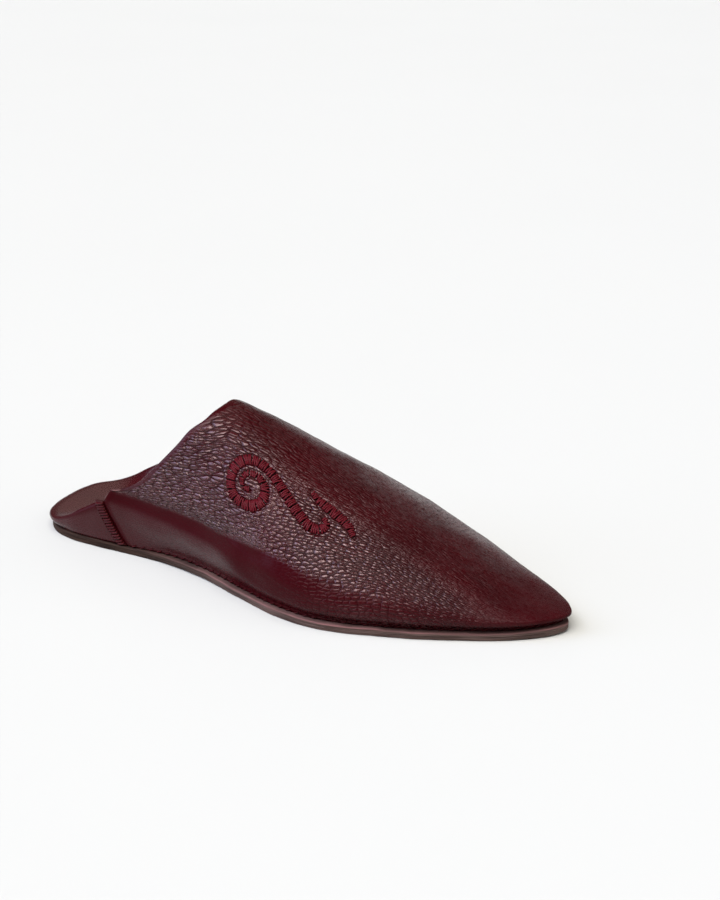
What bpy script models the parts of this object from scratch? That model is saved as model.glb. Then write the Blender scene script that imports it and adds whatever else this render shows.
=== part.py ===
"""A pointed leather slipper with its back folded down, standing empty on its flat sole.

Metres, +X to the toe, +Y to the left, +Z up. The floor is z = 0, and the origin is on it, under the
middle of the slipper. Every piece is worked out along the sole from x = 0 at the heel, then settled
in place by one function that adds the arch, the toe spring and the swing of the toe.
"""

import math

import bmesh
import bpy
import numpy as np

# Sole
LENGTH = 0.274
BALL_WIDTH = 0.1046
WAIST_WIDTH = 0.0604
HEEL_WIDTH = 0.0616
SOLE_THICKNESS = 0.0036
SOLE_EASE = 0.0005
ARCH_LIFT = 0.0006
TOE_SPRING = 0.0010
TOE_SWING = 0.0017
INSOLE_THICKNESS = 0.0012

# Upper
UPPER_WALL = 0.0018
THROAT_HEIGHT = 0.0758
CORNER_HEIGHT = 0.0322
TOE_WALL_HEIGHT = 0.0086
THROAT_X = 0.0992
CORNER_X = 0.0490
WALL_BULGE = 0.0020
GROOVE_DEPTH = 0.0015
GROOVE_HEIGHT = 0.0021
TOE_CAP_LENGTH = 0.0125
SHAPING_LENGTH = 0.0300

# Folded back and side seams
QUARTER_SHEET = 0.0016
FLAP_LENGTH = 0.0610
HEEL_BULGE = 0.0024
SEAM_FOOT_X = 0.0548
SEAM_TOP_X = 0.0420
SEAM_TOP_HEIGHT = 0.0249
SEAM_WIDTH = 0.0044
SEAM_PROUD = 0.0007

# Fits
GAP = 0.0003
SOLE_LIP = 0.0009

# Steps of the meshes
SOLE_STEPS = 44
VAMP_STEPS = 40
ROOF_STEPS = 15
HEEL_STEPS = 20
DISH_STEPS = 7
SEAM_STEPS = 10

# Half of the sole's outline, heel to toe.
# Columns: x as a share of LENGTH, the width it follows, y as a share of half that width
OUTLINE = (
    (0.000, "heel", 0.000),
    (0.003, "heel", 0.360),
    (0.012, "heel", 0.610),
    (0.036, "heel", 0.830),
    (0.076, "heel", 0.960),
    (0.135, "heel", 1.000),
    (0.225, "waist", 1.000),
    (0.310, "waist", 1.045),
    (0.390, "ball", 0.690),
    (0.480, "ball", 0.842),
    (0.560, "ball", 0.965),
    (0.620, "ball", 1.000),
    (0.680, "ball", 0.955),
    (0.745, "ball", 0.847),
    (0.805, "ball", 0.730),
    (0.865, "ball", 0.578),
    (0.920, "ball", 0.425),
    (0.965, "ball", 0.250),
    (0.990, "ball", 0.112),
    (1.000, "ball", 0.000),
)

# Sections of the vamp. The shoulder is the ridge where its side wall turns into its roof.
# Columns: x as a share of LENGTH, shoulder height from the corner's (0) to the toe wall's (1),
# rise of the crown above the shoulder as a share of the rise at the throat, roof power
SECTIONS = (
    (0.180, 0.00, 1.22, 1.50),
    (0.300, 0.08, 1.12, 1.44),
    (0.370, 0.08, 1.00, 1.40),
    (0.450, 0.20, 0.89, 1.34),
    (0.550, 0.55, 0.80, 1.27),
    (0.650, 0.80, 0.665, 1.20),
    (0.750, 0.87, 0.437, 1.15),
    (0.840, 0.94, 0.243, 1.10),
    (0.920, 0.99, 0.088, 1.05),
    (1.000, 1.00, 0.010, 1.00),
)

# Side wall of the vamp, from the sole up to the shoulder.
# Columns: height between the groove's top (0) and the shoulder (1), share of GROOVE_DEPTH that
# the wall stands in by, share of WALL_BULGE that it swells out by
WALL_ROWS = (
    (0.00, 1.00, 0.00),
    (0.12, 0.45, 0.15),
    (0.32, 0.05, 0.65),
    (0.55, 0.00, 0.95),
    (0.74, 0.00, 1.00),
    (1.00, 0.00, 0.95),
)

# Fold of the heel quarter, rear to side seam.
# Columns: x as a share of SEAM_TOP_X, height from the flap's top (0) to SEAM_TOP_HEIGHT (1)
FOLD = (
    (0.00, 0.03),
    (0.25, 0.07),
    (0.48, 0.28),
    (0.69, 0.58),
    (0.83, 0.77),
    (0.95, 0.93),
    (1.10, 1.12),
)

# Outside of the heel quarter's wall, sole to fold.
# Columns: height from the sole (0) to the fold (1), steps in as a share of QUARTER_SHEET, swells
# out as a share of HEEL_BULGE
QUARTER_ROWS = (
    (0.00, 0.00, 0.00),
    (0.08, -0.02, 0.28),
    (0.22, -0.06, 0.65),
    (0.50, -0.10, 1.00),
    (0.78, 0.05, 1.00),
    (0.94, 0.30, 0.85),
    (1.00, 0.85, 0.65),
)

# Raised back of a side seam.
# Columns: place across SEAM_WIDTH from its middle, share of SEAM_PROUD
SEAM_ROWS = (
    (-0.50, 0.00),
    (-0.42, 0.62),
    (-0.22, 0.94),
    (0.00, 1.00),
    (0.22, 0.94),
    (0.42, 0.62),
    (0.50, 0.00),
)

BASE_Z = SOLE_THICKNESS + GAP
INSOLE_TOP = BASE_Z + INSOLE_THICKNESS
FLAP_TOP = INSOLE_TOP + GAP + QUARTER_SHEET
INSOLE_OFFSET = -SOLE_LIP - GROOVE_DEPTH - UPPER_WALL - GAP
MIDDLE_X = (LENGTH + WALL_BULGE - HEEL_BULGE) / 2
TOPLINE_POWER = 0.9
SEAM_POWER = 0.75
DISH_POWER = 2.2
SPINE_START_SHARE = 0.36
SWING_START, SPRING_START = 0.62, 0.86
ARCH_START, ARCH_END = 0.20, 0.50


def clear_scene():
    for thing in list(bpy.data.objects):
        bpy.data.objects.remove(thing, do_unlink=True)


def leather(name, colour, roughness):
    """A Principled material of one plain colour."""
    material = bpy.data.materials.new(name)
    material.use_nodes = True
    shader = material.node_tree.nodes["Principled BSDF"]
    shader.inputs["Base Color"].default_value = (*colour, 1.0)
    shader.inputs["Roughness"].default_value = roughness
    shader.inputs["Metallic"].default_value = 0.0
    return material


def hermite(a, b, slope_a, slope_b, t):
    return (
        a * (2 * t**3 - 3 * t**2 + 1)
        + slope_a * (t**3 - 2 * t**2 + t)
        + b * (3 * t**2 - 2 * t**3)
        + slope_b * (t**3 - t**2)
    )


def column(table, key, x):
    """Column key of a table at x, on a smooth curve through its rows."""
    xs = np.array([row[0] for row in table])
    ys = np.array([row[key] for row in table])
    span = np.diff(xs)
    secant = np.diff(ys) / span
    slope = np.empty_like(ys)
    slope[1:-1] = (secant[:-1] * span[1:] + secant[1:] * span[:-1]) / (span[1:] + span[:-1])
    slope[0], slope[-1] = secant[0], secant[-1]
    x = np.clip(x, xs[0], xs[-1])
    i = np.clip(np.searchsorted(xs, x) - 1, 0, len(span) - 1)
    t = (x - xs[i]) / span[i]
    return hermite(ys[i], ys[i + 1], slope[i] * span[i], slope[i + 1] * span[i], t)


def outline_curve(per_span=40):
    """Half of the sole's outline as close points, square to the centre line at both ends."""
    half = {"heel": HEEL_WIDTH / 2, "waist": WAIST_WIDTH / 2, "ball": BALL_WIDTH / 2}
    points = np.array([(x * LENGTH, half[name] * y) for x, name, y in OUTLINE])
    chord = np.linalg.norm(np.diff(points, axis=0), axis=1)[:, None]
    secant = np.diff(points, axis=0) / chord
    slope = np.empty_like(points)
    weighed = secant[:-1] * chord[1:] + secant[1:] * chord[:-1]
    slope[1:-1] = weighed / (chord[1:] + chord[:-1])
    slope[0], slope[-1] = (0.0, 1.0), (0.0, -1.0)
    t = np.linspace(0.0, 1.0, per_span, endpoint=False)[:, None]
    spans = [
        hermite(points[i], points[i + 1], slope[i] * chord[i], slope[i + 1] * chord[i], t)
        for i in range(len(chord))
    ]
    return np.concatenate(spans + [points[-1:]])


CURVE = outline_curve()
ARC = np.concatenate([[0.0], np.cumsum(np.linalg.norm(np.diff(CURVE, axis=0), axis=1))])
ARC /= ARC[-1]


def edge(s, offset):
    """x and y of the outline at share s of its arc, heel 0 to toe 1, moved out by offset."""
    reach = 0.002
    x, y = np.interp(s, ARC, CURVE[:, 0]), np.interp(s, ARC, CURVE[:, 1])
    low, high = np.clip(s - reach, 0.0, 1.0), np.clip(s + reach, 0.0, 1.0)
    dx = np.interp(high, ARC, CURVE[:, 0]) - np.interp(low, ARC, CURVE[:, 0])
    dy = np.interp(high, ARC, CURVE[:, 1]) - np.interp(low, ARC, CURVE[:, 1])
    size = np.hypot(dx, dy)
    at_end = (s <= 0.0) | (s >= 1.0)
    out_x = np.where(at_end, np.where(s >= 1.0, 1.0, -1.0), -dy / size)
    out_y = np.where(at_end, 0.0, dx / size)
    return x + out_x * offset, y + out_y * offset


def arc_at(x):
    return np.interp(x, CURVE[:, 0], ARC)


def settle(points):
    """Adds the arch, the toe spring and the toe's swing, and centres the slipper on the origin."""
    share = points[..., 0] / LENGTH
    spring = np.clip((share - SPRING_START) / (1.0 - SPRING_START), 0.0, None) ** 2
    swing = np.clip((share - SWING_START) / (1.0 - SWING_START), 0.0, None) ** 2
    arch = np.clip((share - ARCH_START) / (ARCH_END - ARCH_START), 0.0, 1.0)
    moved = points.copy()
    moved[..., 0] -= MIDDLE_X
    moved[..., 1] -= TOE_SWING * swing
    moved[..., 2] += TOE_SPRING * spring + ARCH_LIFT * np.sin(math.pi * arch) ** 2
    return moved


def points_of(x, y, z):
    return np.stack(np.broadcast_arrays(x, y, z), axis=-1)


def mirrored(grid):
    """A left-hand grid joined at its last column, on the centre plane, to its mirror image."""
    return np.concatenate([grid, grid[:, -2::-1] * (1.0, -1.0, 1.0)], axis=1)


def finish_object(name, bm, material, sharp_angle=40.0):
    bmesh.ops.remove_doubles(bm, verts=bm.verts, dist=1e-6)
    bmesh.ops.recalc_face_normals(bm, faces=bm.faces)
    mesh = bpy.data.meshes.new(name)
    bm.to_mesh(mesh)
    bm.free()
    mesh.shade_smooth()
    mesh.set_sharp_from_angle(angle=math.radians(sharp_angle))
    mesh.materials.append(material)
    thing = bpy.data.objects.new(name, mesh)
    bpy.context.collection.objects.link(thing)
    return thing


def add_strip(bm, first, second):
    for a, b, c, d in zip(first, first[1:], second[1:], second):
        bm.faces.new((a, b, c, d))


def add_grid(bm, grid):
    """Faces over a grid of points. Returns its vertices, row by row."""
    verts = [[bm.verts.new(point) for point in row] for row in grid]
    for low, high in zip(verts, verts[1:]):
        add_strip(bm, low, high)
    return verts


def sheet_object(name, outer, inner, material, closed_end=False):
    """A solid between two grids of one size. closed_end says that their last rows close up."""
    bm = bmesh.new()
    out = add_grid(bm, settle(outer))
    back = add_grid(bm, settle(inner))
    add_strip(bm, out[0], back[0])
    if not closed_end:
        add_strip(bm, out[-1], back[-1])
    for side in (0, -1):
        add_strip(bm, [row[side] for row in out], [row[side] for row in back])
    return finish_object(name, bm, material)


def plate_object(name, rings, material):
    """A flat piece from rings of the outline (offset, z), lowest first, closed by two caps."""
    even = np.linspace(0.0, 1.0, SOLE_STEPS + 1)
    s = (even + 0.5 - 0.5 * np.cos(math.pi * even)) / 2
    bm = bmesh.new()
    loops = []
    for offset, z in rings:
        left = points_of(*edge(s, offset), z)
        right = left[-2:0:-1] * (1.0, -1.0, 1.0)
        loops.append([bm.verts.new(point) for point in settle(np.concatenate([left, right]))])
    for low, high in zip(loops, loops[1:]):
        add_strip(bm, low + low[:1], high + high[:1])
    for loop in (loops[0], loops[-1]):
        left, right = loop[: SOLE_STEPS + 1], loop[:1] + loop[: SOLE_STEPS - 1 : -1]
        for i in range(SOLE_STEPS):
            corners = (left[i], left[i + 1], right[i + 1], right[i])
            bm.faces.new(list(dict.fromkeys(corners)))
    return finish_object(name, bm, material)


def seam_x(z):
    """x of the side seam's middle at height z, leaning back from its foot to its top."""
    share = np.clip((z - BASE_Z) / (SEAM_TOP_HEIGHT - BASE_Z), 0.0, None)
    return SEAM_FOOT_X + (SEAM_TOP_X - SEAM_FOOT_X) * share**SEAM_POWER


def beside_seam(height_at, side):
    """x where a row of height height_at(x) meets the seam: behind it (-1), in it (0), ahead (1)."""
    x = SEAM_FOOT_X
    for _ in range(30):
        x = seam_x(height_at(x)) + side * (SEAM_WIDTH / 2 + GAP)
    return x


def rear_x(height_at):
    """x where a row of the vamp starts: along the seam, and above it forward to the corner."""
    x = beside_seam(height_at, 1)
    above = (height_at(x) - SEAM_TOP_HEIGHT) / (CORNER_HEIGHT - SEAM_TOP_HEIGHT)
    if above <= 0.0:
        return x
    seam_front = SEAM_TOP_X + SEAM_WIDTH / 2 + GAP
    return seam_front + (CORNER_X - seam_front) * min(above, 1.0)


def shaping(x):
    """How far the vamp's groove and bulge have grown, from none at the side seam to all."""
    t = np.clip((x - SEAM_FOOT_X) / SHAPING_LENGTH, 0.0, 1.0)
    return t * t * (3.0 - 2.0 * t)


def vamp_edge(s, groove, bulge, inward):
    """The outline of the vamp's wall where it stands in and swells out by these shares."""
    grown = shaping(edge(s, 0.0)[0])
    return edge(s, -SOLE_LIP - inward + grown * (WALL_BULGE * bulge - GROOVE_DEPTH * groove))


def shoulder_z(x, inward=0.0):
    """Height of the ridge between wall and roof, lower on the inside where the roof is flat."""
    share = column(SECTIONS, 1, x / LENGTH)
    return CORNER_HEIGHT + (TOE_WALL_HEIGHT - CORNER_HEIGHT - inward) * share


def crown_rise(x, inward):
    """Rise of the crown above the shoulder, rounded down to nothing over the toe cap."""
    tip = LENGTH - SOLE_LIP + WALL_BULGE * WALL_ROWS[-1][2] - inward
    into_cap = np.clip((x - tip + TOE_CAP_LENGTH) / TOE_CAP_LENGTH, 0.0, 1.0)
    at_throat = THROAT_HEIGHT - shoulder_z(THROAT_X)
    rise = at_throat * column(SECTIONS, 2, x / LENGTH)
    thinner = inward * (1.0 - column(SECTIONS, 1, x / LENGTH))
    return (rise - thinner) * np.sqrt(1.0 - into_cap**2)


def vamp_stations(rear_x):
    """Arc shares from rear_x to the toe, closer together towards the toe."""
    start = arc_at(rear_x)
    share = 1.0 - (1.0 - np.linspace(0.0, 1.0, VAMP_STEPS + 1)) ** 1.6
    return start + (1.0 - start) * share


def vamp_foot_row(inward):
    s = vamp_stations(rear_x(lambda x: BASE_Z))
    return points_of(*vamp_edge(s, 1.0, 0.0, inward), BASE_Z)


def vamp_wall_row(height, groove, bulge, inward):
    """One row of the side wall, rear edge to toe, set in from its outer face by inward."""
    low = BASE_Z + GROOVE_HEIGHT
    s = vamp_stations(rear_x(lambda x: low + height * (shoulder_z(x) - low)))
    x, y = vamp_edge(s, groove, bulge, inward)
    return points_of(x, y, low + height * (shoulder_z(x, inward) - low))


def vamp_roof_row(angle, inward):
    """One row of the roof at an angle from the shoulder (0) to the crown (pi / 2)."""
    s = vamp_stations(CORNER_X + (THROAT_X - CORNER_X) * math.sin(angle) ** TOPLINE_POWER)
    x, y = vamp_edge(s, *WALL_ROWS[-1][1:], inward)
    power = column(SECTIONS, 3, x / LENGTH)
    z = shoulder_z(x, inward) + crown_rise(x, inward) * math.sin(angle) ** power
    return points_of(x, y * math.cos(angle), z)


def vamp_half(inward):
    rows = [vamp_foot_row(inward)]
    rows += [vamp_wall_row(*row, inward) for row in WALL_ROWS]
    for step in range(1, ROOF_STEPS + 1):
        rows.append(vamp_roof_row(math.pi / 2 * step / ROOF_STEPS, inward))
    half = np.stack(rows, axis=1)
    half[:, -1, 1] = 0.0
    return half


def vamp(material):
    """The hollow upper: side walls, roof and toe, open below and at the rear."""
    outer, inner = mirrored(vamp_half(0.0)), mirrored(vamp_half(UPPER_WALL))
    return sheet_object("vamp", outer, inner, material, closed_end=True)


def fold_z(x):
    return FLAP_TOP + (SEAM_TOP_HEIGHT - FLAP_TOP) * column(FOLD, 1, x / SEAM_TOP_X)


def heel_edge(s, inward, swell):
    """The outline of the quarter set in by inward, swelling out at the back of the heel."""
    fade = np.clip(1.0 - edge(s, 0.0)[0] / SEAM_FOOT_X, 0.0, 1.0) ** 2
    return edge(s, -SOLE_LIP - inward + fade * HEEL_BULGE * swell)


def heel_stations(height):
    """Arc shares from the side seam round to the heel's back, at a share of the fold's height."""
    front = beside_seam(lambda x: BASE_Z + height * (fold_z(x) - BASE_Z), -1)
    return arc_at(front) * np.linspace(1.0, 0.0, HEEL_STEPS + 1)


def dish_rows(underside):
    """The folded flap, from the fold in to the spine along the heel's centre line."""
    s = heel_stations(1.0)
    x, y = heel_edge(s, QUARTER_SHEET * 1.3, QUARTER_ROWS[-1][2])
    spine_start = SPINE_START_SHARE * FLAP_LENGTH
    reach = np.clip((x - spine_start) / (x[0] - spine_start), 0.0, 1.0)
    spine_x = spine_start + (FLAP_LENGTH - spine_start) * reach
    rise = fold_z(x) - FLAP_TOP
    span = np.hypot(x - spine_x, y)
    rows = []
    for step in range(DISH_STEPS + 1):
        r = 1.0 - step / DISH_STEPS
        forward = r ** (1.0 + reach)
        z = FLAP_TOP + rise * r**DISH_POWER
        if underside:
            slope = rise * DISH_POWER * r ** (DISH_POWER - 1.0) / span
            z = z - QUARTER_SHEET * np.sqrt(1.0 + slope**2)
        rows.append(points_of(spine_x + (x - spine_x) * forward, y * r, z))
    rows[-1][:, 1] = 0.0
    return rows


def heel_quarter(material):
    """One folded sheet: a low wall round the heel, turned in at the fold over a dished flap."""
    top, under = dish_rows(underside=False), dish_rows(underside=True)
    outer, inner = [], []
    for height, step, swell in QUARTER_ROWS:
        s = heel_stations(height)
        x, y = heel_edge(s, QUARTER_SHEET * step, swell)
        outer.append(points_of(x, y, BASE_Z + height * (fold_z(x) - BASE_Z)))
        x, y = heel_edge(s, QUARTER_SHEET, swell)
        inner.append(points_of(x, y, BASE_Z + height * (under[0][:, 2] - BASE_Z)))
    outer = mirrored(np.stack(outer + top, axis=1))
    inner = mirrored(np.stack(inner + under, axis=1))
    return sheet_object("heel_quarter", outer, inner, material, closed_end=True)


def side_seam(name, side, material):
    """The raised strip that joins quarter and vamp, on the left (side 1) or right (-1)."""
    top_z = fold_z(beside_seam(fold_z, 0))
    z = np.linspace(BASE_Z, top_z, SEAM_STEPS + 1)[:, None]
    across = np.array([row[0] for row in SEAM_ROWS])
    proud = np.array([row[1] for row in SEAM_ROWS])
    s = arc_at(seam_x(z) + across * SEAM_WIDTH)
    outer = points_of(*edge(s, -SOLE_LIP + SEAM_PROUD * proud), z)
    inner = points_of(*edge(s, -SOLE_LIP - UPPER_WALL), z)
    flip = (1.0, side, 1.0)
    return sheet_object(name, outer * flip, inner * flip, material)


def main():
    clear_scene()
    sole_leather = leather("sole_leather", (0.33, 0.20, 0.15), 0.75)
    insole_leather = leather("insole_leather", (0.16, 0.04, 0.04), 0.65)
    upper_leather = leather("upper_leather", (0.10, 0.012, 0.018), 0.38)
    seam_thread = leather("seam_thread", (0.16, 0.006, 0.016), 0.60)
    sole_rings = (
        (-SOLE_EASE, 0.0),
        (0.0, SOLE_EASE),
        (0.0, SOLE_THICKNESS - SOLE_EASE / 2),
        (-SOLE_EASE / 2, SOLE_THICKNESS),
    )
    plate_object("outsole", sole_rings, sole_leather)
    insole_rings = ((INSOLE_OFFSET, BASE_Z), (INSOLE_OFFSET, INSOLE_TOP))
    plate_object("insole", insole_rings, insole_leather)
    vamp(upper_leather)
    heel_quarter(upper_leather)
    side_seam("side_seam_left", 1.0, seam_thread)
    side_seam("side_seam_right", -1.0, seam_thread)


main()
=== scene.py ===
"""Looks of the pointed leather slipper with its back folded down.

Metres, +X to the toe, +Y to the left, +Z up, the floor at z = 0. Surfaces are worked out along the
sole from x = 0 at the heel, as in the part's source, and then settled into the frame.
"""

import math

import bmesh
import bpy
import numpy as np
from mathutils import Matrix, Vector

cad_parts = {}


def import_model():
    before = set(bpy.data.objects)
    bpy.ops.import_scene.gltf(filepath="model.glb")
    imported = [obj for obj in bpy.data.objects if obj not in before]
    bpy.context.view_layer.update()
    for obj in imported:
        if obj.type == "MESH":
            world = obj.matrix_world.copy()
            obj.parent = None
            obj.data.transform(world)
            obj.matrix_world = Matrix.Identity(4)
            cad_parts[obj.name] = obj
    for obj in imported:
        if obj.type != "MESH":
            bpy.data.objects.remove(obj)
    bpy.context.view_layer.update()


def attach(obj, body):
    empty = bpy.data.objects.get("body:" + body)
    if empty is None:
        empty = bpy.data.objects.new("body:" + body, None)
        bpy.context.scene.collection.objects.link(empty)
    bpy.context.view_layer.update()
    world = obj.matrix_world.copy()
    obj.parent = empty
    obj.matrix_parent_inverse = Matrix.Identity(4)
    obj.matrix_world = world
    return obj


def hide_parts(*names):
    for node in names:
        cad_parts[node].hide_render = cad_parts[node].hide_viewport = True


# Sole
LENGTH = 0.274
BALL_WIDTH = 0.1046
WAIST_WIDTH = 0.0604
HEEL_WIDTH = 0.0616
SOLE_THICKNESS = 0.0036
SOLE_EASE = 0.0005
ARCH_LIFT = 0.0006
TOE_SPRING = 0.0010
TOE_SWING = 0.0017
INSOLE_THICKNESS = 0.0012

# Upper
UPPER_WALL = 0.0018
THROAT_HEIGHT = 0.0758
CORNER_HEIGHT = 0.0322
TOE_WALL_HEIGHT = 0.0086
THROAT_X = 0.0992
CORNER_X = 0.0490
WALL_BULGE = 0.0020
GROOVE_DEPTH = 0.0015
GROOVE_HEIGHT = 0.0021
TOE_CAP_LENGTH = 0.0125
SHAPING_LENGTH = 0.0300

# Folded back and side seams
QUARTER_SHEET = 0.0016
FLAP_LENGTH = 0.0610
HEEL_BULGE = 0.0024
SEAM_FOOT_X = 0.0548
SEAM_TOP_X = 0.0420
SEAM_TOP_HEIGHT = 0.0249
SEAM_WIDTH = 0.0044
SEAM_PROUD = 0.0007

# Fits
GAP = 0.0003
SOLE_LIP = 0.0009

# Steps of the fine meshes
VAMP_STEPS = 300
WALL_STEPS = 24
ROOF_STEPS = 64
HEEL_STEPS = 110
QUARTER_STEPS = 18
DISH_STEPS = 44
SOLE_STEPS = 150
COARSE_EVERY = 5

# Turned edge of the topline, and its waves as (turns from shoulder to crown, reach, phase)
TURNED_EDGE = 0.0030
RIM_REACH = 0.0024
RIM_DEPTH = 0.0008
TOPLINE_WAVES = ((3.0, 0.00045, 0.4), (7.0, 0.00030, 2.1), (11.0, 0.00018, 4.0))

# Embroidery and its sunk channel
THREAD_RADIUS = 0.00051
THREADS_IN_BLOCK = 4
THREAD_SPACING = 1.72
BLOCK_PITCH = 0.0041
BAND_WIDTH = 0.0050
BAND_ARCH = 0.00075
CHANNEL_DEPTH = 0.0008
LIP_HEIGHT = 0.00035

# Threads over the side seams and stitches in the groove
SEAM_PITCH = 0.00128
SEAM_THREAD_RADIUS = 0.00066
STITCH_PITCH = 0.0048
STITCH_LENGTH = 0.0024
STITCH_RADIUS = 0.00030

# Grain cells as size, stretch along the slipper and unevenness, and the depth of the grain
ROUND_CELLS = (0.0018, 1.75, 0.75)
LONG_CELLS = (0.00145, 3.3, 1.0)
GRAIN_DEPTH = 0.00066

# Colours in linear light
LEATHER_SHADES = ((0.037, 0.0021, 0.0035), (0.050, 0.0031, 0.0050))
# Painted shade: the colour that the dark mask takes the leather to
SHADED_LEATHER = (0.037, 0.0020, 0.0040)
# Painted shade in the valleys of the grain
GRAIN_PIT_SHADE = (0.018, 0.0010, 0.0018)
# Sole edge colours, the rear pair darker as painted shade under the heel
SOLE_REAR = ((0.014, 0.006, 0.004), (0.048, 0.024, 0.016))
SOLE_FRONT = ((0.060, 0.036, 0.031), (0.145, 0.094, 0.082))
# Painted highlight along the top of the sole's edge at the front
SOLE_TOP_HIGHLIGHT = (0.260, 0.115, 0.115)
LINING = (0.13, 0.045, 0.038)
INSOLE = (0.15, 0.045, 0.04)
# Pale corner edges: partly the cut edge's own colour, partly a painted highlight
CUT_EDGE_AND_HIGHLIGHT = (0.20, 0.085, 0.08)
FLOOR_SHADES = ((0.642, 0.636, 0.612), (0.656, 0.650, 0.626))

# Threads as two colours of their twist, and how much painted shade darkens them between one another,
# away from their crests
SEAM_THREAD = ((0.050, 0.0008, 0.0020), (0.080, 0.0016, 0.0045), 0.45)
EMBROIDERY_THREAD = ((0.072, 0.0018, 0.0044), (0.130, 0.0046, 0.0125), 0.90)

# Camera, matched to the photo: where it stands, which way it looks, and its lens in millimetres
CAMERA_PLACE = (0.3279, -0.5558, 0.3264)
CAMERA_LOOK = (-0.433, 0.816, -0.383)
CAMERA_LENS = 60.0
CAMERA_SENSOR = 36.0

# Room: its dim radiance, the angle over which its lights fade, and the lights as azimuth from and
# to, elevation from and to in degrees, radiance and blueness. Azimuth is 0 at -Y and 90 at +X
FLOOR_SIZE = 12.0
ROOM_RADIANCE = 0.03
LIGHT_EDGE = 9.0
ROOM_LIGHTS = (
    (-46.0, 20.0, 45.0, 66.0, 9.5, 0.0),
    (-60.0, 140.0, 69.0, 120.0, 7.4, -0.04),
    (-76.0, -47.0, 8.0, 60.0, 4.2, 0.32),
    (-166.0, -122.0, 14.0, 46.0, 0.5, -0.1),
    (88.0, 132.0, 16.0, 48.0, 1.8, -0.04),
    (-190.0, 190.0, -90.0, 7.0, 0.4, 0.0),
)

# Lower edge of the grained leather on the flank, above the smooth band.
# Columns: x as a share of LENGTH, height as a share of CORNER_HEIGHT
GRAIN_EDGE = (
    (0.18, 1.000),
    (0.30, 0.955),
    (0.45, 0.925),
    (0.52, 0.920),
    (0.56, 0.890),
    (0.61, 0.820),
    (0.68, 0.690),
    (0.74, 0.620),
    (0.85, 0.470),
    (0.94, 0.335),
    (1.00, 0.250),
)

# Half of the sole's outline, heel to toe.
# Columns: x as a share of LENGTH, the width it follows, y as a share of half that width
OUTLINE = (
    (0.000, "heel", 0.000),
    (0.003, "heel", 0.360),
    (0.012, "heel", 0.610),
    (0.036, "heel", 0.830),
    (0.076, "heel", 0.960),
    (0.135, "heel", 1.000),
    (0.225, "waist", 1.000),
    (0.310, "waist", 1.045),
    (0.390, "ball", 0.690),
    (0.480, "ball", 0.842),
    (0.560, "ball", 0.965),
    (0.620, "ball", 1.000),
    (0.680, "ball", 0.955),
    (0.745, "ball", 0.847),
    (0.805, "ball", 0.730),
    (0.865, "ball", 0.578),
    (0.920, "ball", 0.425),
    (0.965, "ball", 0.250),
    (0.990, "ball", 0.112),
    (1.000, "ball", 0.000),
)

# Sections of the vamp.
# Columns: x as a share of LENGTH, shoulder height from the corner's (0) to the toe wall's (1),
# rise of the crown above the shoulder as a share of the rise at the throat, roof power
SECTIONS = (
    (0.180, 0.00, 1.22, 1.50),
    (0.300, 0.08, 1.12, 1.44),
    (0.370, 0.08, 1.00, 1.40),
    (0.450, 0.20, 0.89, 1.34),
    (0.550, 0.55, 0.80, 1.27),
    (0.650, 0.80, 0.665, 1.20),
    (0.750, 0.87, 0.437, 1.15),
    (0.840, 0.94, 0.243, 1.10),
    (0.920, 0.99, 0.088, 1.05),
    (1.000, 1.00, 0.010, 1.00),
)

# Side wall of the vamp, from the sole up to the shoulder.
# Columns: height between the groove's top (0) and the shoulder (1), share of GROOVE_DEPTH that
# the wall stands in by, share of WALL_BULGE that it swells out by
WALL_ROWS = (
    (0.00, 1.00, 0.00),
    (0.12, 0.45, 0.15),
    (0.32, 0.05, 0.65),
    (0.55, 0.00, 0.95),
    (0.74, 0.00, 1.00),
    (1.00, 0.00, 0.95),
)

# Fold of the heel quarter, rear to side seam.
# Columns: x as a share of SEAM_TOP_X, height from the flap's top (0) to SEAM_TOP_HEIGHT (1)
FOLD = (
    (0.00, 0.03),
    (0.25, 0.07),
    (0.48, 0.28),
    (0.69, 0.58),
    (0.83, 0.77),
    (0.95, 0.93),
    (1.10, 1.12),
)

# Outside of the heel quarter's wall, sole to fold.
# Columns: height from the sole (0) to the fold (1), steps in as a share of QUARTER_SHEET, swells
# out as a share of HEEL_BULGE
QUARTER_ROWS = (
    (0.00, 0.00, 0.00),
    (0.08, -0.02, 0.28),
    (0.22, -0.06, 0.65),
    (0.50, -0.10, 1.00),
    (0.78, 0.05, 1.00),
    (0.94, 0.30, 0.85),
    (1.00, 0.85, 0.65),
)

# Embroidered scroll on the outer flank and the leaf above it, as points of their middle lines.
# Columns: x from the heel, distance down from the crown, share of BAND_WIDTH, all in shoe sizes
SCROLL = (
    (0.1302, 0.0362, 0.42),
    (0.1272, 0.0372, 0.46),
    (0.1248, 0.0345, 0.50),
    (0.1262, 0.0305, 0.56),
    (0.1310, 0.0290, 0.64),
    (0.1365, 0.0318, 0.80),
    (0.1382, 0.0370, 0.94),
    (0.1350, 0.0422, 1.00),
    (0.1290, 0.0440, 1.00),
    (0.1225, 0.0425, 1.00),
    (0.1192, 0.0372, 1.00),
    (0.1195, 0.0300, 1.00),
    (0.1235, 0.0245, 1.00),
    (0.1295, 0.0225, 1.00),
    (0.1355, 0.0237, 1.00),
    (0.1425, 0.0270, 1.00),
    (0.1500, 0.0312, 1.00),
    (0.1570, 0.0348, 1.00),
    (0.1635, 0.0368, 0.92),
    (0.1680, 0.0350, 0.78),
    (0.1690, 0.0312, 0.64),
    (0.1662, 0.0292, 0.50),
)
LEAF = (
    (0.1560, 0.0205, 0.45),
    (0.1620, 0.0226, 0.92),
    (0.1680, 0.0236, 1.10),
    (0.1735, 0.0242, 1.05),
    (0.1785, 0.0262, 0.80),
    (0.1815, 0.0292, 0.45),
)

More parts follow.
